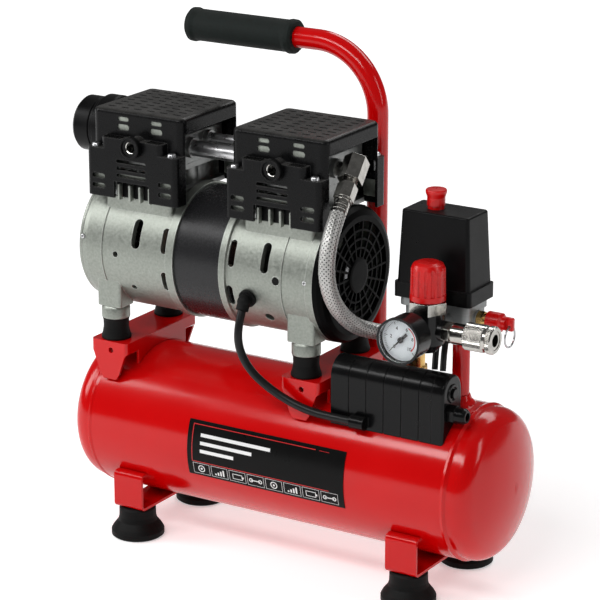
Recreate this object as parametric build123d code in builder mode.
from build123d import *
import math
import os

os.makedirs("parts", exist_ok=True)

# ---- driving dimensions, millimetres; floor is z = 0, +X runs along the tank ----
TX, TY, TZ = 5.0, 2.5, 102.0        # centre of the tank
TANK_R, TANK_WALL = 70.0, 2.0
SEAM_X = 186.0                      # shell end, measured from the tank centre
HEAD_R, KNUCKLE_R, CROWN_R = 68.6, 18.0, 150.0
FOOT_X, FOOT_Y = 147.0, 53.0        # rubber foot pattern, half spacings
STRAP_Y, STRAP_W, STRAP_T = 68.0, 31.0, 2.5
STRAP_BOTTOM, STRAP_TOP = 28.8, 64.5

MZ = 270.5                          # motor axis height
CASE_R, CASE_IN = 60.0, 54.0
CYL_X = (TX - 143.0, TX + 6.0)      # the two cylinder centre lines
MOUNT_X = (TX - 173.0, TX + 32.5)   # rubber mounts
MOUNT_Y = 42.0
PAD_TOP = 185.0
THROW = 4.0                         # eccentric throw of each piston drive

POST_X, POST_Y, POST_R = TX + 35.6, TY + 74.0, 9.6
GRIP_Z, HANDLE_BEND = 458.5, 62.0

RISER_X = TX + 164.5
SWITCH_X, SWITCH_Y = TX + 146.0, TY + 0.5
REG_X, REG_Y, REG_Z = TX + 155.0, TY - 44.0, 250.0
GAUGE_Z, GAUGE_R = 252.0, 20.5
SAFETY_Z = 251.0
BOX_Y, BOX_Z, BOX_R = TY - 35.5, 192.5, 16.5
BOX_X0, BOX_X1 = TX + 64.0, TX + 176.0
VALVE_X, VALVE_Y, VALVE_Z = TX + 107.4, TY + 21.0, 215.5


def spin_x(points, y, z, mode=Mode.ADD, angle=360.0):
    """Turned shape about an X-wise axis; points are (x, radius)."""
    plane = Plane(origin=(0, y, z), x_dir=(1, 0, 0), z_dir=(0, -1, 0))
    with BuildSketch(plane) as outline:
        with BuildLine():
            Polyline(*points, close=True)
        make_face()
    revolve(outline.sketch, axis=Axis((0, y, z), (1, 0, 0)), revolution_arc=angle, mode=mode)


def spin_y(points, x, z, mode=Mode.ADD):
    """Turned shape about a Y-wise axis; points are (y, radius)."""
    plane = Plane(origin=(x, 0, z), x_dir=(0, 1, 0), z_dir=(1, 0, 0))
    with BuildSketch(plane) as outline:
        with BuildLine():
            Polyline(*points, close=True)
        make_face()
    revolve(outline.sketch, axis=Axis((x, 0, z), (0, 1, 0)), mode=mode)


def spin_z(points, x, y, mode=Mode.ADD):
    """Turned shape about an upright axis; points are (radius, z)."""
    plane = Plane(origin=(x, y, 0), x_dir=(1, 0, 0), z_dir=(0, -1, 0))
    with BuildSketch(plane) as outline:
        with BuildLine():
            Polyline(*points, close=True)
        make_face()
    revolve(outline.sketch, axis=Axis((x, y, 0), (0, 0, 1)), mode=mode)


def slab(x0, x1, y0, y1, z0, z1, mode=Mode.ADD, corner=0.0):
    """Block between two corners, upright edges rounded by `corner`."""
    with BuildSketch(Plane.XY.offset(z0)) as base:
        with Locations(((x0 + x1) / 2, (y0 + y1) / 2)):
            if corner > 0:
                RectangleRounded(x1 - x0, y1 - y0, corner)
            else:
                Rectangle(x1 - x0, y1 - y0)
    extrude(base.sketch, amount=z1 - z0, mode=mode)


def hexagon(centre, direction, flats, length, mode=Mode.ADD):
    """Hexagonal bar starting at `centre` and running along `direction`."""
    with BuildSketch(Plane(origin=centre, z_dir=direction)) as bar:
        RegularPolygon(flats / 2, 6, major_radius=False)
    extrude(bar.sketch, amount=length, mode=mode)


def rod(centre, direction, radius, length, mode=Mode.ADD):
    """Round bar starting at `centre` and running along `direction`."""
    with BuildSketch(Plane(origin=centre, z_dir=direction)) as bar:
        Circle(radius)
    extrude(bar.sketch, amount=length, mode=mode)


def along(start, direction, distance):
    """Point at a distance from start in a direction."""
    size = math.sqrt(sum(c * c for c in direction))
    return tuple(s + c / size * distance for s, c in zip(start, direction))


def save(part, name):
    """Label a finished piece and write its file."""
    part.label = name
    export_step(part, "parts/" + name + ".step")


def route_wire(points):
    """Straight runs joined by tangent arcs; prints the arc radii."""
    radii = []
    for a, b, c in zip(points, points[1:], points[2:]):
        u = [q - p for p, q in zip(a, b)]
        v = [q - p for p, q in zip(b, c)]
        lu = math.sqrt(sum(k * k for k in u))
        lv = math.sqrt(sum(k * k for k in v))
        turn = math.acos(sum(p * q for p, q in zip(u, v)) / (lu * lv))
        radii.append(0.45 * min(lu, lv) / math.tan(turn / 2))
    print("arc radii", [round(r, 1) for r in radii])
    return radii


# ================================ air tank ================================
crown_x = math.sqrt((CROWN_R - KNUCKLE_R) ** 2 - (HEAD_R - KNUCKLE_R) ** 2)
KNUCKLE_X = 192.0
TANK_END = KNUCKLE_X + CROWN_R - crown_x


def tank_face(wall):
    """Half outline of the dished tank, moved inward by wall, on the plane of its axis."""
    k, c, r = KNUCKLE_R - wall, CROWN_R - wall, HEAD_R - wall
    reach = math.atan2(crown_x, HEAD_R - KNUCKLE_R)
    end = KNUCKLE_X - crown_x + c
    crown_half = (math.pi / 2 - reach) / 2
    plane = Plane(origin=(TX, TY, TZ), x_dir=(1, 0, 0), z_dir=(0, -1, 0))
    with BuildSketch(plane) as outline:
        with BuildLine():
            for s in (-1, 1):
                knuckle_end = (s * (KNUCKLE_X + k * math.sin(reach)), r - k + k * math.cos(reach))
                knuckle_mid = (s * (KNUCKLE_X + k * math.sin(reach / 2)), r - k + k * math.cos(reach / 2))
                crown_mid = (s * (KNUCKLE_X - crown_x + c * math.cos(crown_half)), c * math.sin(crown_half))
                ThreePointArc((s * KNUCKLE_X, r), knuckle_mid, knuckle_end)
                ThreePointArc(knuckle_end, crown_mid, (s * end, 0))
            if wall == 0:
                Polyline((-KNUCKLE_X, r), (-SEAM_X - 2.5, r), (-SEAM_X, TANK_R + 0.7), (-SEAM_X + 2.5, TANK_R),
                         (SEAM_X - 2.5, TANK_R), (SEAM_X, TANK_R + 0.7), (SEAM_X + 2.5, r), (KNUCKLE_X, r))
            else:
                Line((-KNUCKLE_X, r), (KNUCKLE_X, r))
            Line((-end, 0), (end, 0))
        make_face()
    return outline.sketch


with BuildPart() as tank:
    axis = Axis((TX, TY, TZ), (1, 0, 0))
    revolve(tank_face(0), axis=axis)
    revolve(tank_face(TANK_WALL), axis=axis, mode=Mode.SUBTRACT)
    # welded sockets on top: outlet riser and non-return valve
    spin_z([(0, TZ + 66), (14.5, TZ + 67), (13.5, TZ + 70.5), (10.2, TZ + 74), (8.6, TZ + 78), (0, TZ + 78)],
           RISER_X, TY)
    spin_z([(0, TZ + 60), (12.5, TZ + 60), (12.5, TZ + 70), (0, TZ + 70)], VALVE_X, VALVE_Y)
    rod((RISER_X, TY, TZ + 60), (0, 0, 1), 6.0, 20, mode=Mode.SUBTRACT)
    rod((VALVE_X, VALVE_Y, TZ + 50), (0, 0, 1), 6.6, 25, mode=Mode.SUBTRACT)
save(tank.part, "tank")

# printed label wrapped on the front of the shell
with BuildPart() as label:
    with BuildSketch(Plane.YZ.offset(TX - 76.5)) as strip:
        with Locations((TY, TZ)):
            Circle(TANK_R + 0.55)
            Circle(TANK_R + 0.25, mode=Mode.SUBTRACT)
        with BuildLine():
            Polyline((TY, TZ), (TY - 110, TZ + 49.2), (TY - 110, TZ - 38.3), close=True)
        make_face(mode=Mode.INTERSECT)
    extrude(strip.sketch, amount=164.5)
save(label.part, "label")

# ============================ feet and brackets ============================


def foot_strap(x, name):
    """Bent strip under the tank with an upturned flange front and back."""
    with BuildPart() as strap:
        with BuildSketch(Plane.YZ.offset(x - STRAP_W / 2)) as outline:
            with Locations((TY, (STRAP_BOTTOM + STRAP_TOP) / 2)):
                RectangleRounded(2 * STRAP_Y, STRAP_TOP - STRAP_BOTTOM, 5)
                RectangleRounded(2 * (STRAP_Y - STRAP_T), STRAP_TOP - STRAP_BOTTOM - 2 * STRAP_T,
                                 5 - STRAP_T, mode=Mode.SUBTRACT)
            with Locations((TY, TZ)):
                Circle(TANK_R + 0.3, mode=Mode.SUBTRACT)
        extrude(outline.sketch, amount=STRAP_W)
        for side in (-1, 1):
            rod((x, TY + side * FOOT_Y, STRAP_BOTTOM - 1), (0, 0, 1), 3.3, 6, mode=Mode.SUBTRACT)
    save(strap.part, name)


foot_strap(TX - 145.0, "foot_strap_left")
foot_strap(TX + 145.0, "foot_strap_right")

FOOT_SPOTS = [(TX + i * (FOOT_X - 2), TY + j * FOOT_Y) for i in (-1, 1) for j in (-1, 1)]
with BuildPart() as rubber_feet:
    for fx, fy in FOOT_SPOTS:
        spin_z([(3.4, 8), (9.5, 8), (9.5, 0), (22.5, 0), (24.6, 1.6), (24.6, 6.0), (22.6, 9.5),
                (18.2, 15.0), (17.2, 19.0), (17.0, 27.0), (15.6, 28.6), (3.4, 28.6)], fx, fy)
save(rubber_feet.part, "rubber_feet")

with BuildPart() as foot_screws:
    for fx, fy in FOOT_SPOTS:
        spin_z([(0, 5.0), (5.5, 5.0), (6.5, 6.4), (6.5, 7.9), (3.1, 7.9), (3.1, 36.6), (0, 36.6)], fx, fy)
        hexagon((fx, fy, STRAP_BOTTOM + STRAP_T + 0.1), (0, 0, 1), 10.0, 4.6)
save(foot_screws.part, "foot_screws")


def motor_bracket(x, name, wing):
    """Pressed saddle across the tank top carrying two rubber mounts."""
    x0, x1 = x - 20.0, x + 20.0
    with BuildPart() as bracket:
        slab(x0, x1, TY - 57, TY + 57, 140, PAD_TOP, corner=4)
        slab(x0 + 2.5, x1 - 2.5, TY - 54.5, TY + 54.5, 139, PAD_TOP - 2.5, mode=Mode.SUBTRACT, corner=2)
        # end plates narrow to a rounded tongue that hugs the shell
        for side in (-1, 1):
            with BuildSketch(Plane.XZ.offset(-(TY + side * 50))) as tongue:
                with BuildLine():
                    Polyline((x0 - 1, 139), (x0 - 1, 176), (x0 + 3, 172), (x0 + 10, 153), (x0 + 13, 148.5),
                             (x1 - 13, 148.5), (x1 - 10, 153), (x1 - 3, 172), (x1 + 1, 176), (x1 + 1, 139),
                             close=True)
                make_face()
            extrude(tongue.sketch, amount=12, both=True, mode=Mode.SUBTRACT)
            rod((x + 2, TY + side * 50, 176.5), (0, side, 0), 2.6, 12, mode=Mode.SUBTRACT)
        spin_x([(x0 - 5, 0), (x0 - 5, TANK_R + 0.3), (x1 + 5, TANK_R + 0.3), (x1 + 5, 0)], TY, TZ,
               mode=Mode.SUBTRACT)
        for side in (-1, 1):
            rod((MOUNT_X[0] if x < 0 else MOUNT_X[1], TY + side * MOUNT_Y, 170), (0, 0, 1), 4.3, 20,
                mode=Mode.SUBTRACT)
        if wing:
            with BuildSketch(Plane.YZ.offset(POST_X - 15)) as plate:
                with BuildLine():
                    Polyline((TY + 55, PAD_TOP), (TY + 57.5, PAD_TOP - 0.5), (TY + 59.8, 169.0), (TY + 87, 169.0),
                             (TY + 87, 166.5), (TY + 57.5, 166.5), (TY + 55.2, 182.0), (TY + 54, 182.5),
                             close=True)
                make_face()
            extrude(plate.sketch, amount=30)
    save(bracket.part, name)


motor_bracket(TX - 171.0, "motor_bracket_left", False)
motor_bracket(TX + 34.5, "motor_bracket_right", True)

MOUNT_SPOTS = [(x, TY + j * MOUNT_Y) for x in MOUNT_X for j in (-1, 1)]
with BuildPart() as rubber_mounts:
    for mx, my in MOUNT_SPOTS:
        spin_z([(4.4, 185.2), (13.6, 185.2), (13.8, 187.0), (12.6, 190.5), (11.6, 196.0), (11.8, 202.5),
                (12.6, 204.9), (4.4, 204.9)], mx, my)
save(rubber_mounts.part, "rubber_mounts")

with BuildPart() as mount_bolts:
    for mx, my in MOUNT_SPOTS:
        rod((mx, my, 173.5), (0, 0, 1), 4.0, 42.0)
        hexagon((mx, my, 176.0), (0, 0, 1), 13.0, 6.2)
save(mount_bolts.part, "mount_bolts")

# ================================ crankcases ================================


def foot_legs(x, front_width):
    """Cast legs reaching from the barrel down to the two mount bosses."""
    for side in (-1, 1):
        y = TY + side * MOUNT_Y
        slab(x - front_width / 2, x + front_width / 2, y - 11, y + 11, 217.0, 262.0, corner=3)
        rod((x, y, 205.2), (0, 0, 1), 10.6, 14.0)


def slot_cut(x, angle, width, length, side=-1):
    """Rounded cooling slot through the barrel wall, running round the barrel."""
    a = math.radians(angle)
    out = (0, side * math.cos(a), math.sin(a))
    start = (x, TY + out[1] * 45, MZ + out[2] * 45)
    with BuildSketch(Plane(origin=start, x_dir=(1, 0, 0), z_dir=out)) as cut:
        SlotOverall(length, width, rotation=90)
    extrude(cut.sketch, amount=22, mode=Mode.SUBTRACT)


with BuildPart() as crankcase_left:
    L0, L1 = TX - 205.0, TX - 95.5
    spin_x([(L0, 0), (L0, 48.0), (L0 + 2.5, 54.5), (L0 + 8, 59.0), (L0 + 13, CASE_R), (L1 - 9, CASE_R),
            (L1 - 8, 62.5), (L1, 62.5), (L1, 0)], TY, MZ)
    foot_legs(MOUNT_X[0], 26.0)
    slab(CYL_X[0] - 36, CYL_X[0] + 36, TY - 46, TY + 46, 300.0, 321.0, corner=4)
    slab(CYL_X[0] - 36, CYL_X[0] + 36, TY - 46, TY + 46, 325.0, 340.0, mode=Mode.SUBTRACT)
    spin_x([(L0 + 4, 0), (L0 + 4, 50.0), (L0 + 12, CASE_IN), (L1 - 8.5, CASE_IN), (L1 - 8.5, 58.6),
            (L1 + 1, 58.6), (L1 + 1, 0)], TY, MZ, mode=Mode.SUBTRACT)
    # bearing walls at both sides of the crank chamber
    spin_x([(L0 + 2, 15.0), (L0 + 2, 26.0), (L0 + 11, 22.0), (L0 + 11, 15.0)], TY, MZ)
    spin_x([(TX - 118, 15.0), (TX - 118, CASE_IN + 0.5), (TX - 114, CASE_IN + 0.5), (TX - 114, 22.0),
            (TX - 109, 20.0), (TX - 109, 15.0)], TY, MZ)
    rod((CYL_X[0], TY, MZ + 40), (0, 0, 1), 26.5, 25.0, mode=Mode.SUBTRACT)
    for side in (-1, 1):
        slot_cut(TX - 138, 21, 9.0, 27.0, side)
        slot_cut(TX - 107, 19, 6.5, 23.0, side)
        slot_cut(TX - 107, -18, 6.5, 19.0, side)
        slot_cut(TX - 159.5, 0, 5.2, 5.4, side)
        slot_cut(TX - 145, -31, 5.2, 5.4, side)
    for mx, my in MOUNT_SPOTS[:2]:
        rod((mx, my, 205), (0, 0, 1), 4.1, 11.0, mode=Mode.SUBTRACT)
save(crankcase_left.part, "crankcase_left")

with BuildPart() as crankcase_right:
    R0, R1 = TX - 46.5, TX + 49.8
    spin_x([(R0, 0), (R0, 62.5), (R0 + 6, 62.5), (R0 + 7, CASE_R), (R1 - 8, CASE_R), (R1 - 7, 61.5),
            (R1, 61.5), (R1, 0)], TY, MZ)
    foot_legs(MOUNT_X[1], 28.0)
    slab(CYL_X[1] - 36, CYL_X[1] + 36, TY - 46, TY + 46, 300.0, 321.0, corner=4)
    slab(CYL_X[1] - 36, CYL_X[1] + 36, TY - 46, TY + 46, 325.0, 340.0, mode=Mode.SUBTRACT)
    spin_x([(R0 - 1, 0), (R0 - 1, 58.6), (R0 + 8.5, 58.6), (R0 + 8.5, CASE_IN), (R1 + 1, CASE_IN),
            (R1 + 1, 0)], TY, MZ, mode=Mode.SUBTRACT)
    for wall in (TX - 17, TX + 21):
        spin_x([(wall, 15.0), (wall, CASE_IN + 0.5), (wall + 3.5, CASE_IN + 0.5), (wall + 3.5, 21.0),
                (wall + 7, 20.0), (wall + 7, 15.0)], TY, MZ)
    rod((CYL_X[1], TY, MZ + 40), (0, 0, 1), 26.5, 25.0, mode=Mode.SUBTRACT)
    for side in (-1, 1):
        slot_cut(TX - 35, 19, 6.5, 24.0, side)
        slot_cut(TX - 0.5, 20, 8.0, 27.0, side)
        slot_cut(TX - 37, -19, 6.5, 20.0, side)
        slot_cut(TX - 1.5, -37, 9.0, 9.2, side)
    slot_cut(TX - 17.7, -17.4, 11.0, 11.2, -1)
    for mx, my in MOUNT_SPOTS[2:]:
        rod((mx, my, 205), (0, 0, 1), 4.1, 11.0, mode=Mode.SUBTRACT)
save(crankcase_right.part, "crankcase_right")

with BuildPart() as stator_core:
    spin_x([(TX - 103.5, 34.0), (TX - 103.5, 58.5), (TX - 95.4, 58.5), (TX - 95.4, 60.6), (TX - 46.6, 60.6),
            (TX - 46.6, 58.5), (TX - 38.5, 58.5), (TX - 38.5, 34.0)], TY, MZ)
save(stator_core.part, "stator_core")

with BuildPart() as stator_windings:
    for x, s in ((TX - 103.6, -1), (TX - 38.4, 1)):
        spin_x([(x, 38.0), (x, 51.0), (x + s * 3, 52.0), (x + s * 6, 51.0), (x + s * 7.5, 47.0),
                (x + s * 6, 39.0)], TY, MZ)
save(stator_windings.part, "stator_windings")

# rotating group: crankshaft with two eccentrics, rotor and fan
with BuildPart() as crankshaft:
    rod((TX - 199.0, TY, MZ), (1, 0, 0), 7.0, 247.0)
    for x, up in ((CYL_X[0], 1), (CYL_X[1], -1)):
        rod((x - 4, TY, MZ + up * THROW), (1, 0, 0), 11.5, 8.0)
save(crankshaft.part, "crankshaft")

with BuildPart() as rotor:
    spin_x([(TX - 103, 7.05), (TX - 103, 33.2), (TX - 39, 33.2), (TX - 39, 7.05)], TY, MZ)
    for angle in range(0, 360, 30):
        a = math.radians(angle)
        slab(TX - 108, TX - 34, TY + 26 * math.cos(a) - 1.5, TY + 26 * math.cos(a) + 1.5,
             MZ + 26 * math.sin(a) - 2.5, MZ + 26 * math.sin(a) + 2.5)
save(rotor.part, "rotor")

with BuildPart() as bearings:
    for x in (TX - 200.5, TX - 117.5, TX - 16.5, TX + 21.5):
        spin_x([(x, 7.05), (x, 14.9), (x + 7, 14.9), (x + 7, 7.05)], TY, MZ)
save(bearings.part, "bearings")

with BuildPart() as cooling_fan:
    spin_x([(TX + 30, 7.05), (TX + 30, 12.0), (TX + 47, 12.0), (TX + 47, 7.05)], TY, MZ)
    for k in range(7):
        a = 2 * math.pi * k / 7
        out = (0, math.cos(a), math.sin(a))
        lean = (0.78, -0.62 * math.sin(a), 0.62 * math.cos(a))
        with BuildSketch(Plane(origin=(TX + 38.5, TY + out[1] * 11, MZ + out[2] * 11), x_dir=lean,
                               z_dir=out)) as blade:
            Rectangle(20.0, 2.0)
        extrude(blade.sketch, amount=40.0)
save(cooling_fan.part, "cooling_fan")

with BuildPart() as fan_cover:
    F0 = TX + 50.0
    spin_x([(F0, 57.5), (F0, 61.5), (F0 + 4.5, 61.3), (F0 + 8.5, 58.5), (F0 + 10.5, 53.5), (F0 + 10.5, 48.5),
            (F0 + 8.0, 48.5), (F0 + 7.8, 52.5), (F0 + 4.0, 57.5)], TY, MZ)
    spin_x([(F0 + 8.0, 0), (F0 + 8.0, 15.0), (F0 + 9.5, 16.5), (F0 + 11.2, 15.5), (F0 + 11.6, 13.0),
            (F0 + 11.6, 0)], TY, MZ)
    for r in (24.5, 32.5, 40.5):
        spin_x([(F0 + 8.2, r - 0.9), (F0 + 8.2, r + 0.9), (F0 + 10.2, r + 0.9), (F0 + 10.2, r - 0.9)], TY, MZ)
    for k in range(18):
        a = 2 * math.pi * k / 18
        out = (0, math.cos(a), math.sin(a))
        with BuildSketch(Plane(origin=(F0 + 9.2, TY + out[1] * 14, MZ + out[2] * 14), x_dir=(1, 0, 0),
                               z_dir=out)) as rib:
            Rectangle(2.2, 1.8)
        extrude(rib.sketch, amount=36.0)
save(fan_cover.part, "fan_cover")

# ============================ cylinders and heads ============================


with BuildPart() as cylinders:
    for x in CYL_X:
        slab(x - 35, x + 35, TY - 45, TY + 45, 325.2, 329.5, corner=4)
        rod((x, TY, 326), (0, 0, 1), 29.0, 24.0)
        for dx in (-25.0, -13.0, 0.0, 13.0, 25.0):
            slab(x + dx - 1.8, x + dx + 1.8, TY - 44.5, TY + 44.5, 328, 348)
            for y in (TY - 44.5, TY + 34.5):
                slab(x + dx - 1.8, x + dx + 1.8, y, y + 10, 321.2, 330)
        slab(x - 34, x + 34, TY - 45, TY + 45, 347.0, 352.0, corner=4)
        rod((x, TY, 316), (0, 0, 1), 24.3, 40.0, mode=Mode.SUBTRACT)
save(cylinders.part, "cylinders")


def piston(x, name):
    """One-piece wobble piston with its rod and eccentric eye."""
    with BuildPart() as body:
        spin_z([(0, 340.0), (23.9, 340.0), (24.15, 343.0), (24.15, 345.5), (23.0, 347.0), (0, 347.0)], x, TY)
        slab(x - 4.0, x + 4.0, TY - 6, TY + 6, MZ + 21, 341)
        spin_x([(x - 4, 20.0), (x - 4, 24.5), (x + 4, 24.5), (x + 4, 20.0)], TY, MZ)
    save(body.part, name)


piston(CYL_X[0], "piston_left")
piston(CYL_X[1], "piston_right")


TUBES = ((-12.0, 366.5, 7.2), (15.0, 370.5, 4.8))
ELBOW = (TX + 60.0, TY - 9.0, 367.2)
HEAD_PORTS = {CYL_X[0]: [(1, dy, z, r) for dy, z, r in TUBES] + [(-1, 0.0, 368.0, 9.0)],
              CYL_X[1]: [(-1, dy, z, r) for dy, z, r in TUBES] + [(1, -9.0, ELBOW[2], 6.5)]}
with BuildPart() as cylinder_heads:
    for x in CYL_X:
        slab(x - 34, x + 34, TY - 43, TY + 43, 352.2, 380.0, corner=5)
    fillet(cylinder_heads.edges().group_by(Axis.Z)[-1], 2.5)
    for x, ports in HEAD_PORTS.items():
        for side, dy, z, r in ports:
            rod((x + side * 33, TY + dy, z), (side, 0, 0), r + 2.2, 6.0)
            rod((x + side * 25, TY + dy, z), (side, 0, 0), r + 0.1, 16.0, mode=Mode.SUBTRACT)
save(cylinder_heads.part, "cylinder_heads")

with BuildPart() as transfer_tubes:
    for dy, z, r in TUBES:
        rod((CYL_X[0] + 27, TY + dy, z), (1, 0, 0), r, CYL_X[1] - CYL_X[0] - 54)
        rod((CYL_X[0] + 26, TY + dy, z), (1, 0, 0), r - 1.2, CYL_X[1] - CYL_X[0] - 50, mode=Mode.SUBTRACT)
save(transfer_tubes.part, "transfer_tubes")


def head_cover(x, name, filter_hole):
    """Moulded shroud over one head: louvred top, deeper aprons front and back."""
    with BuildPart() as cover:
        slab(x - 49, x + 49, TY - 46, TY + 46, 322.0, 400.5, corner=7)
        fillet(cover.edges().group_by(Axis.Z)[-1], 4)
        slab(x - 49, x + 49, TY - 56, TY + 56, 322.0, 366.5, corner=5)
        slab(x - 33, x + 33, TY - 56, TY + 56, 360.0, 377.0, corner=5)
        for side in (-1, 1):
            rod((x + 2, TY + side * 44, 371.5), (0, side, 0), 8.2, 16.5)
        slab(x - 46.5, x + 46.5, TY - 43.5, TY + 43.5, 321.0, 398.0, mode=Mode.SUBTRACT, corner=5)
        slab(x - 46.5, x + 46.5, TY - 53.5, TY + 53.5, 321.0, 364.0, mode=Mode.SUBTRACT, corner=3)
        slab(x - 30.5, x + 30.5, TY - 53.5, TY + 53.5, 350.0, 374.5, mode=Mode.SUBTRACT, corner=3)
        # open sides round the head, arches over the crankcase barrel
        slab(x - 60, x + 60, TY - 41, TY + 41, 310.0, 386.5, mode=Mode.SUBTRACT)
        for side in (-1, 1):
            rod((x + 2, TY + side * 40, 371.5), (0, side, 0), 5.4, 26.0, mode=Mode.SUBTRACT)
            y = TY + side * 62
            slab(x - 19, x + 19, min(y, y - side * 14), max(y, y - side * 14), 315.0, 337.5, mode=Mode.SUBTRACT)
            with BuildSketch(Plane.XZ.offset(-y)) as louvres:
                for dx in (-15.0, 21.0):
                    with Locations((x + dx, 393.0)):
                        SlotOverall(12.0, 4.0)
                    with Locations((x + dx, 385.5)):
                        SlotOverall(13.0, 5.4)
                for row in range(2):
                    with Locations((x - 36.0, 331.5 + 9.0 * row), (x + 36.0, 331.5 + 9.0 * row)):
                        SlotOverall(14.0, 4.6)
                for z in (343.5, 350.0, 356.5):
                    with Locations((x, z)):
                        SlotOverall(32.0, 3.4)
            extrude(louvres.sketch, amount=side * 18, mode=Mode.SUBTRACT)
            for dx in (-41.0, 41.0):
                rod((x + dx, TY + side * 51.0, 360), (0, 0, 1), 2.2, 8, mode=Mode.SUBTRACT)
        with BuildSketch(Plane.XY.offset(396.0)) as top_slots:
            with Locations((x, TY)):
                with GridLocations(14.0, 9.6, 6, 8):
                    SlotOverall(8.5, 2.6)
        extrude(top_slots.sketch, amount=8.0, mode=Mode.SUBTRACT)
    save(cover.part, name)


head_cover(CYL_X[0], "head_cover_left", True)
head_cover(CYL_X[1], "head_cover_right", False)

with BuildPart() as cover_screws:
    for x in CYL_X:
        for dx in (-41.0, 41.0):
            for side in (-1, 1):
                spin_z([(0, 352.0), (2.0, 352.0), (2.0, 366.7), (4.2, 366.7), (4.0, 368.6), (2.6, 369.8),
                        (0, 370.0)], x + dx, TY + side * 51.0)
save(cover_screws.part, "cover_screws")

with BuildPart() as port_plugs:
    for x in CYL_X:
        for side in (-1, 1):
            rod((x + 2, TY + side * 43.5, 371.5), (0, side, 0), 5.2, 15.0)
            rod((x + 2, TY + side * 50.0, 371.5), (0, side, 0), 3.4, 10.0, mode=Mode.SUBTRACT)
save(port_plugs.part, "port_plugs")

# intake silencer on the left head
with BuildPart() as intake_filter:
    FX, FZ = CYL_X[0] - 39.6, 372.0
    spin_x([(FX, 8.0), (FX, 13.2), (FX - 10.5, 13.2), (FX - 10.5, 27.5), (FX - 12.0, 29.0), (FX - 24.0, 29.0),
            (FX - 25.5, 27.5), (FX - 25.5, 25.2), (FX - 30, 25.2), (FX - 30, 8.0)], TY, FZ)
save(intake_filter.part, "intake_filter")

with BuildPart() as filter_cap:
    spin_x([(FX - 30.2, 0), (FX - 30.2, 24.0), (FX - 31.5, 25.6), (FX - 46.0, 25.6), (FX - 48.5, 23.5),
            (FX - 48.5, 9.0), (FX - 46.5, 7.5), (FX - 46.5, 0)], TY, FZ)
    with BuildSketch(Plane.YZ.offset(FX - 49.5)) as vents:
        with Locations((TY, FZ)):
            with PolarLocations(16.0, 10):
                SlotOverall(10.0, 3.0)
    extrude(vents.sketch, amount=4.0, mode=Mode.SUBTRACT)
save(filter_cap.part, "filter_cap")

# ======================= delivery hose and check valve =======================
HOSE_R = 6.75
OUT_DIR = (0.14, -0.77, -0.62)
HOSE = [(66.7, -46.0, 337.4), (68.9, -58.3, 327.5), (70.5, -69.0, 311.0), (71.0, -72.0, 288.0),
        (71.5, -62.0, 264.0), (73.5, -42.0, 243.0), (78.0, -22.0, 229.5), (90.0, -4.5, 223.8)]
HOSE = [(TX + x, TY + y, z) for x, y, z in HOSE]
IN_DIR = (0.545, 0.795, -0.259)

with BuildPart() as elbow_fitting:
    rod((CYL_X[1] + 26.5, ELBOW[1], ELBOW[2]), (1, 0, 0), 6.5, ELBOW[0] - CYL_X[1] - 26.5)
    hexagon(along(ELBOW, OUT_DIR, -12.0), OUT_DIR, 20.0, 24.0)
    rod(along(ELBOW, OUT_DIR, 10.0), OUT_DIR, 6.6, 6.5)
save(elbow_fitting.part, "elbow_fitting")

with BuildPart() as hose_fittings:
    hexagon(along(ELBOW, OUT_DIR, 16.7), OUT_DIR, 16.0, 15.0)
    rod(along(ELBOW, OUT_DIR, 31.7), OUT_DIR, 7.8, 2.5)
    rod(along(ELBOW, OUT_DIR, 34.2), OUT_DIR, 7.0, 13.4)
    for step in (38.0, 42.5):
        rod(along(ELBOW, OUT_DIR, step), OUT_DIR, 7.3, 2.0)
    tail = along((VALVE_X, VALVE_Y, VALVE_Z), IN_DIR, -11.0)
    hexagon(along(tail, IN_DIR, -9.5), IN_DIR, 15.0, 7.6)
    rod(along(tail, IN_DIR, -20.5), IN_DIR, 7.0, 11.0)
save(hose_fittings.part, "hose_fittings")

with BuildPart() as braided_hose:
    with BuildLine() as path:
        FilletPolyline(*HOSE, radius=route_wire(HOSE))
    with BuildSketch(Plane(origin=HOSE[0], z_dir=OUT_DIR)) as ring:
        Circle(HOSE_R)
    sweep(ring.sketch, path=path.wire())
print("hose", path.wire().length, braided_hose.part.volume / (math.pi * HOSE_R ** 2))
save(braided_hose.part, "braided_hose")

with BuildPart() as check_valve:
    spin_z([(0, TZ + 60), (6.4, TZ + 60), (6.4, TZ + 70.3), (9.0, TZ + 70.3), (9.0, TZ + 74), (0, TZ + 74)],
           VALVE_X, VALVE_Y)
    hexagon((VALVE_X, VALVE_Y, TZ + 73.5), (0, 0, 1), 21.0, 14.0)
    rod((VALVE_X, VALVE_Y, TZ + 87), (0, 0, 1), 8.6, 15.0)
save(check_valve.part, "check_valve")

with BuildPart() as valve_elbow:
    rod((VALVE_X, VALVE_Y, TZ + 102.2), (0, 0, 1), 9.6, 20.0)
    rod(along((VALVE_X, VALVE_Y, VALVE_Z), IN_DIR, -12.8), IN_DIR, 6.8, 12.0)
save(valve_elbow.part, "valve_elbow")

# ============================= handle and grip =============================
with BuildPart() as handle_tube:
    top_left = (TX - 159.0, POST_Y, GRIP_Z)
    with BuildLine() as path:
        FilletPolyline((POST_X, POST_Y, 169.3), (POST_X, POST_Y, GRIP_Z), top_left, radius=HANDLE_BEND)
    with BuildSketch(Plane(origin=(POST_X, POST_Y, 169.3), z_dir=(0, 0, 1))) as ring:
        Circle(POST_R)
        Circle(POST_R - 1.5, mode=Mode.SUBTRACT)
    sweep(ring.sketch, path=path.wire())
    spin_z([(POST_R - 0.5, 169.3), (12.8, 169.3), (11.4, 171.5), (POST_R, 176.0)], POST_X, POST_Y)
save(handle_tube.part, "handle_tube")

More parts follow.
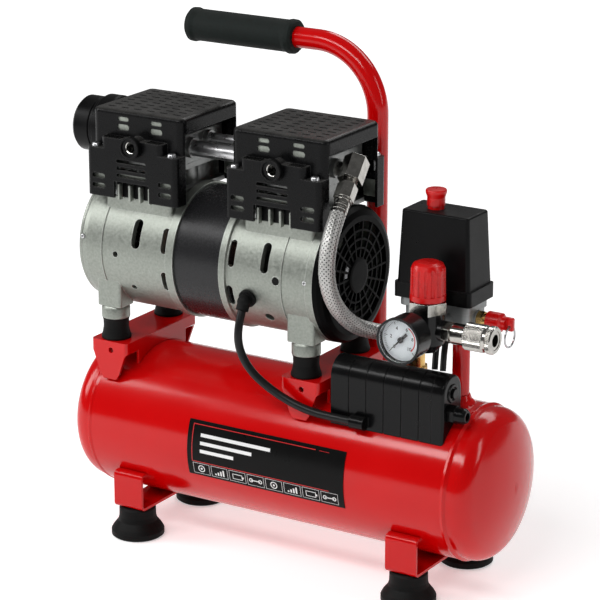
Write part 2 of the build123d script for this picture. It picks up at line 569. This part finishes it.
with BuildPart() as handle_grip:
    G0, G1 = TX - 163.7, TX - 49.0
    spin_x([(G0, 0), (G0, 13.5), (G0 + 2, 15.6), (G0 + 6, 15.9), (G0 + 10, 14.8), (G1 - 10, 14.8), (G1 - 6, 15.9),
            (G1 - 2, 15.6), (G1, 13.8), (G1, 9.7), (TX - 159.2, 9.7), (TX - 159.2, 0)], POST_Y, GRIP_Z)
save(handle_grip.part, "handle_grip")

# ====================== riser, pressure switch, regulator ======================
with BuildPart() as riser_pipe:
    spin_z([(5.5, TZ + 78.3), (7.7, TZ + 78.3), (7.7, 240.5), (5.5, 240.5)], RISER_X, TY)
save(riser_pipe.part, "riser_pipe")

with BuildPart() as switch_base:
    slab(SWITCH_X - 30, SWITCH_X + 33, TY - 17, TY + 18, 241.0, 258.0, corner=6)
    slab(SWITCH_X - 34, SWITCH_X + 34, TY - 19, TY + 20, 258.0, 265.5, corner=6)
    spin_y([(TY - 28.5, 0), (TY - 28.5, 8.0), (TY - 12, 9.5), (TY - 12, 0)], REG_X, REG_Z)
    rod((SWITCH_X + 32, TY, SAFETY_Z), (1, 0, 0), 7.5, 3.0)
    rod((RISER_X, TY, 240), (0, 0, 1), 8.0, 8.0, mode=Mode.SUBTRACT)
    rod((SWITCH_X + 18, TY, SAFETY_Z), (1, 0, 0), 4.7, 25.0, mode=Mode.SUBTRACT)
    for dx in (2.0, 10.0):
        rod((SWITCH_X + dx, TY - 12, 240), (0, 0, 1), 2.9, 8.0, mode=Mode.SUBTRACT)
save(switch_base.part, "switch_base")

with BuildPart() as switch_cover:
    with BuildSketch(Plane.XY.offset(278.0)) as low:
        with Locations((SWITCH_X, SWITCH_Y)):
            RectangleRounded(71.0, 42.0, 3.5)
    with BuildSketch(Plane.XY.offset(343.0)) as high:
        with Locations((SWITCH_X - 1.0, SWITCH_Y + 1.5)):
            RectangleRounded(65.0, 37.0, 3.0)
    loft([low.sketch, high.sketch])
    fillet(switch_cover.edges().group_by(Axis.Z)[-1], 2.0)
    slab(SWITCH_X - 37.5, SWITCH_X + 37.5, SWITCH_Y - 22.5, SWITCH_Y + 22.5, 265.8, 279.0, corner=3.5)
    with BuildSketch(Plane.XY.offset(264.0)) as low_in:
        with Locations((SWITCH_X, SWITCH_Y)):
            RectangleRounded(67.0, 38.0, 2.0)
    with BuildSketch(Plane.XY.offset(340.5)) as high_in:
        with Locations((SWITCH_X - 1.0, SWITCH_Y + 1.5)):
            RectangleRounded(61.0, 33.0, 2.0)
    loft([low_in.sketch, high_in.sketch], mode=Mode.SUBTRACT)
    rod((SWITCH_X - 9, SWITCH_Y, 335), (0, 0, 1), 7.3, 12, mode=Mode.SUBTRACT)
save(switch_cover.part, "switch_cover")

with BuildPart() as on_off_knob:
    spin_z([(0, 326.0), (5.0, 326.0), (5.0, 333.0), (7.1, 333.0), (7.1, 346.0), (8.0, 346.0), (7.9, 353.0),
            (9.2, 357.0), (9.3, 359.0), (8.6, 360.0), (0, 360.4)], SWITCH_X - 9, SWITCH_Y)
save(on_off_knob.part, "on_off_knob")

with BuildPart() as regulator_body:
    spin_z([(0, 230.0), (8.0, 230.0), (10.5, 233.0), (14.8, 238.0), (15.2, 242.0), (15.2, 264.8), (0, 264.8)],
           REG_X, REG_Y)
    rod((REG_X, REG_Y, REG_Z), (0, -1, 0), 8.0, 20.0)
    rod((REG_X, REG_Y, REG_Z), (1, 0, 0), 9.0, 17.5)
    rod((REG_X, REG_Y, 264), (0, 0, 1), 7.0, 31.0)
save(regulator_body.part, "regulator_body")

with BuildPart() as regulator_nut:
    hexagon((REG_X, REG_Y, 265.1), (0, 0, 1), 31.0, 10.2)
    rod((REG_X, REG_Y, 264), (0, 0, 1), 10.0, 13.0, mode=Mode.SUBTRACT)
save(regulator_nut.part, "regulator_nut")

with BuildPart() as regulator_knob:
    spin_z([(7.1, 276.0), (15.4, 276.0), (15.4, 280.0), (15.2, 281.5), (14.8, 303.5), (13.0, 307.6),
            (9.5, 309.2), (0, 309.6), (0, 296.0), (7.1, 296.0)], REG_X, REG_Y)
    for k in range(16):
        a = 2 * math.pi * k / 16
        rod((REG_X + 15.9 * math.cos(a), REG_Y + 15.9 * math.sin(a), 281), (0, 0, 1), 1.9, 32,
            mode=Mode.SUBTRACT)
save(regulator_knob.part, "regulator_knob")

GAUGE_BACK = REG_Y - 20.4
with BuildPart() as gauge_case:
    spin_y([(GAUGE_BACK, 0), (GAUGE_BACK, 5.5), (GAUGE_BACK - 5, 5.5), (GAUGE_BACK - 5, 17.5),
            (GAUGE_BACK - 8, 19.6), (GAUGE_BACK - 25.5, 19.6), (GAUGE_BACK - 26.5, GAUGE_R),
            (GAUGE_BACK - 30.5, GAUGE_R), (GAUGE_BACK - 30.5, 18.6), (GAUGE_BACK - 22, 18.6),
            (GAUGE_BACK - 22, 0)], REG_X, GAUGE_Z)
save(gauge_case.part, "gauge_case")

with BuildPart() as gauge_dial:
    spin_y([(GAUGE_BACK - 22.2, 1.6), (GAUGE_BACK - 22.2, 18.4), (GAUGE_BACK - 23.2, 18.4),
            (GAUGE_BACK - 23.2, 1.6)], REG_X, GAUGE_Z)
save(gauge_dial.part, "gauge_dial")

with BuildPart() as gauge_needle:
    back = GAUGE_BACK - 25.0
    a = math.radians(225)
    tip = (REG_X + 14.5 * math.cos(a), GAUGE_Z + 14.5 * math.sin(a))
    side = (math.sin(a), -math.cos(a))
    tail = (REG_X - 8.5 * math.cos(a), GAUGE_Z - 8.5 * math.sin(a))
    with BuildSketch(Plane.XZ.offset(-back)) as hand:
        with BuildLine():
            Polyline((tip[0], tip[1]),
                     (REG_X + 1.0 * side[0], GAUGE_Z + 1.0 * side[1]),
                     (tail[0] + 1.3 * side[0], tail[1] + 1.3 * side[1]),
                     (tail[0] - 1.3 * side[0], tail[1] - 1.3 * side[1]),
                     (REG_X - 1.0 * side[0], GAUGE_Z - 1.0 * side[1]), close=True)
        make_face()
    extrude(hand.sketch, amount=0.6)
    rod((REG_X, GAUGE_BACK - 22.8, GAUGE_Z), (0, -1, 0), 1.4, 3.6)
    rod((REG_X, back + 0.4, GAUGE_Z), (0, -1, 0), 2.4, 1.6)
save(gauge_needle.part, "gauge_needle")

with BuildPart() as gauge_lens:
    spin_y([(GAUGE_BACK - 28.2, 0), (GAUGE_BACK - 28.2, 18.4), (GAUGE_BACK - 29.6, 18.4),
            (GAUGE_BACK - 30.2, 12.0), (GAUGE_BACK - 30.4, 0)], REG_X, GAUGE_Z)
save(gauge_lens.part, "gauge_lens")

# quick coupler
CX0 = REG_X + 17.6
with BuildPart() as coupler_body:
    hexagon((CX0, REG_Y, REG_Z), (1, 0, 0), 17.0, 7.0)
    spin_x([(CX0 + 6, 0), (CX0 + 6, 7.2), (CX0 + 9, 7.2), (CX0 + 9, 9.3), (CX0 + 25.5, 9.3), (CX0 + 25.5, 8.2),
            (CX0 + 47.5, 8.2), (CX0 + 47.5, 0)], REG_Y, REG_Z)
    rod((CX0 + 24, REG_Y, REG_Z), (1, 0, 0), 5.4, 30, mode=Mode.SUBTRACT)
    rod((CX0 + 10, REG_Y, REG_Z), (1, 0, 0), 3.0, 30, mode=Mode.SUBTRACT)
save(coupler_body.part, "coupler_body")

with BuildPart() as coupler_sleeve:
    spin_x([(CX0 + 30.5, 8.28), (CX0 + 30.5, 9.4), (CX0 + 21.0, 9.4), (CX0 + 21.0, 11.0), (CX0 + 22.0, 12.0),
            (CX0 + 39.0, 12.0), (CX0 + 40.0, 11.0), (CX0 + 42.0, 11.0), (CX0 + 43.0, 12.2), (CX0 + 47.0, 12.2), (CX0 + 48.0, 11.2),
            (CX0 + 48.0, 8.28)], REG_Y, REG_Z)
save(coupler_sleeve.part, "coupler_sleeve")

# safety valve
SX = SWITCH_X + 35.1
with BuildPart() as safety_valve:
    rod((SX - 12, TY, SAFETY_Z), (1, 0, 0), 4.6, 13.0)
    hexagon((SX, TY, SAFETY_Z), (1, 0, 0), 13.0, 6.0)
    spin_x([(SX + 5, 0), (SX + 5, 6.2), (SX + 9, 6.2), (SX + 9, 5.2), (SX + 16, 5.2), (SX + 16, 0)], TY, SAFETY_Z)
    rod((SX + 6, TY, SAFETY_Z), (1, 0, 0), 2.3, 12.0, mode=Mode.SUBTRACT)
save(safety_valve.part, "safety_valve")

with BuildPart() as safety_cap:
    spin_x([(SX + 9.4, 5.5), (SX + 9.4, 8.4), (SX + 22, 8.4), (SX + 23.5, 6.0), (SX + 32.5, 6.0),
            (SX + 33.5, 5.0), (SX + 33.5, 0), (SX + 7.5, 0), (SX + 7.5, 2.2), (SX + 17.5, 2.2),
            (SX + 17.5, 5.5)], TY, SAFETY_Z)
    # flat tab across the tip, drilled for the ring
    slab(SX + 27.0, SX + 40, TY + 1.6, TY + 10, SAFETY_Z - 10, SAFETY_Z + 10, mode=Mode.SUBTRACT)
    slab(SX + 27.0, SX + 40, TY - 10, TY - 1.6, SAFETY_Z - 10, SAFETY_Z + 10, mode=Mode.SUBTRACT)
    rod((SX + 30.0, TY - 10, SAFETY_Z - 2.4), (0, 1, 0), 1.5, 20, mode=Mode.SUBTRACT)
save(safety_cap.part, "safety_cap")

RING_R = 9.0
RING_Z = SAFETY_Z - 2.4 - RING_R
with BuildPart() as pull_ring:
    with BuildSketch(Plane(origin=(SX + 30.0, TY + RING_R, RING_Z), x_dir=(1, 0, 0), z_dir=(0, 0, 1))) as wire:
        Circle(0.9)
    revolve(wire.sketch, axis=Axis((SX + 30.0, TY, RING_Z), (1, 0, 0)))
save(pull_ring.part, "pull_ring")

# ============================ capacitor box and cables ============================
with BuildPart() as capacitor_box:
    with BuildSketch(Plane.YZ.offset(BOX_X0)) as outline:
        with Locations((BOX_Y, BOX_Z)):
            Circle(BOX_R)
            with Locations((0, -25)):
                Rectangle(2 * BOX_R, 50)
    extrude(outline.sketch, amount=BOX_X1 - BOX_X0 - 12)
    with BuildSketch(Plane.YZ.offset(BOX_X0 + 2.0)) as hollow:
        with Locations((BOX_Y, BOX_Z)):
            Circle(BOX_R - 2)
            with Locations((0, -25)):
                Rectangle(2 * BOX_R - 4, 50)
    extrude(hollow.sketch, amount=BOX_X1 - BOX_X0, mode=Mode.SUBTRACT)
    # entry boss for the motor lead on the lower front edge
    rod((TX + 88.0, TY - 57.0, 157.0), (1, 0, 0), 6.2, 14.0)
    # shallow joints between the moulded segments
    for k in range(1, 6):
        with BuildSketch(Plane.YZ.offset(BOX_X0 + 17.5 * k)) as groove:
            with Locations((BOX_Y, BOX_Z)):
                Circle(BOX_R + 1)
                with Locations((0, -25)):
                    Rectangle(2 * BOX_R + 2, 50)
                Circle(BOX_R - 0.7, mode=Mode.SUBTRACT)
                with Locations((0, -25)):
                    Rectangle(2 * BOX_R - 1.4, 52, mode=Mode.SUBTRACT)
        extrude(groove.sketch, amount=1.0, mode=Mode.SUBTRACT)
    spin_x([(BOX_X0 - 5, 0), (BOX_X0 - 5, TANK_R + 0.3), (BOX_X1 + 5, TANK_R + 0.3), (BOX_X1 + 5, 0)], TY, TZ,
           mode=Mode.SUBTRACT)
save(capacitor_box.part, "capacitor_box")

with BuildPart() as box_end_cap:
    with BuildSketch(Plane.YZ.offset(BOX_X1 - 11.8)) as outline:
        with Locations((BOX_Y, BOX_Z)):
            Circle(BOX_R)
            with Locations((0, -25)):
                Rectangle(2 * BOX_R, 50)
    extrude(outline.sketch, amount=11.8)
    fillet(box_end_cap.edges().group_by(Axis.X)[-1], 2.5)
    spin_x([(BOX_X1 - 1, 5.5), (BOX_X1 - 1, 8.8), (BOX_X1 + 1.2, 8.2), (BOX_X1 + 1.2, 6.0)], BOX_Y, BOX_Z)
    rod((BOX_X1 - 3, BOX_Y, BOX_Z), (1, 0, 0), 4.2, 6.0)
    spin_x([(BOX_X0 - 5, 0), (BOX_X0 - 5, TANK_R + 0.3), (BOX_X1 + 5, TANK_R + 0.3), (BOX_X1 + 5, 0)], TY, TZ,
           mode=Mode.SUBTRACT)
save(box_end_cap.part, "box_end_cap")

GLAND = (BOX_X1 + 0.1, TY - 38.0, 174.8)
with BuildPart() as cable_gland:
    hexagon(GLAND, (1, 0, 0), 15.0, 6.0)
    spin_x([(GLAND[0] + 6, 3.6), (GLAND[0] + 6, 7.4), (GLAND[0] + 13, 7.1), (GLAND[0] + 16, 5.5),
            (GLAND[0] + 16, 3.6)], GLAND[1], GLAND[2])
    rod((GLAND[0] - 1, GLAND[1], GLAND[2]), (1, 0, 0), 3.6, 10.0, mode=Mode.SUBTRACT)
save(cable_gland.part, "cable_gland")

GROMMET_DIR = (0, -0.954, -0.299)
GROMMET = (TX - 17.7, TY - 57.3, MZ - 18.0)
KNEE = along(GROMMET, GROMMET_DIR, 7.5)
LEAD_DIR = (0, -0.45, -0.893)
with BuildPart() as cable_grommet:
    rod(along(GROMMET, GROMMET_DIR, 0.6), GROMMET_DIR, 8.2, 2.8)
    rod(along(GROMMET, GROMMET_DIR, 0.6), GROMMET_DIR, 5.8, 7.0)
    with Locations(KNEE):
        Sphere(6.2)
    rod(KNEE, LEAD_DIR, 5.6, 8.0)
save(cable_grommet.part, "cable_grommet")

LEAD_R = 3.7
LEAD = [along(KNEE, LEAD_DIR, 8.1), along(KNEE, LEAD_DIR, 22.0)]
LEAD += [(TX + x, TY + y, z) for x, y, z in
         ((-17.0, -75.5, 212.0), (-8.0, -73.5, 193.0), (8.0, -69.0, 178.0), (28.0, -64.5, 166.5),
          (48.0, -61.5, 160.0), (67.0, -57.0, 157.0), (87.9, -57.0, 157.0))]
with BuildPart() as motor_cable:
    with BuildLine() as path:
        FilletPolyline(*LEAD, radius=route_wire(LEAD))
    with BuildSketch(Plane(origin=LEAD[0], z_dir=LEAD_DIR)) as ring:
        Circle(LEAD_R)
    sweep(ring.sketch, path=path.wire())
print("lead", path.wire().length, motor_cable.part.volume / (math.pi * LEAD_R ** 2))
save(motor_cable.part, "motor_cable")

WIRE_R = 2.75


def switch_cable(dx_top, dx_low, name):
    """Lead from the underside of the pressure switch into the capacitor box."""
    top = (SWITCH_X + dx_top, TY - 12.0, 240.9)
    low = (SWITCH_X + 20 + dx_low, BOX_Y + 2, BOX_Z + BOX_R + 1.3)
    points = [top, (top[0] + 1.5, top[1] - 4.0, 230.0), (low[0] - 2.0, low[1] + 4.5, low[2] + 11.0), low]
    with BuildPart() as lead:
        with BuildLine() as path:
            FilletPolyline(*points, radius=route_wire(points))
        first = tuple(b - a for a, b in zip(points[0], points[1]))
        with BuildSketch(Plane(origin=top, z_dir=first)) as ring:
            Circle(WIRE_R)
        sweep(ring.sketch, path=path.wire())
    print(name, points)
    save(lead.part, name)


switch_cable(2.0, -9.0, "switch_cable_front")
switch_cable(10.0, -1.0, "switch_cable_rear")
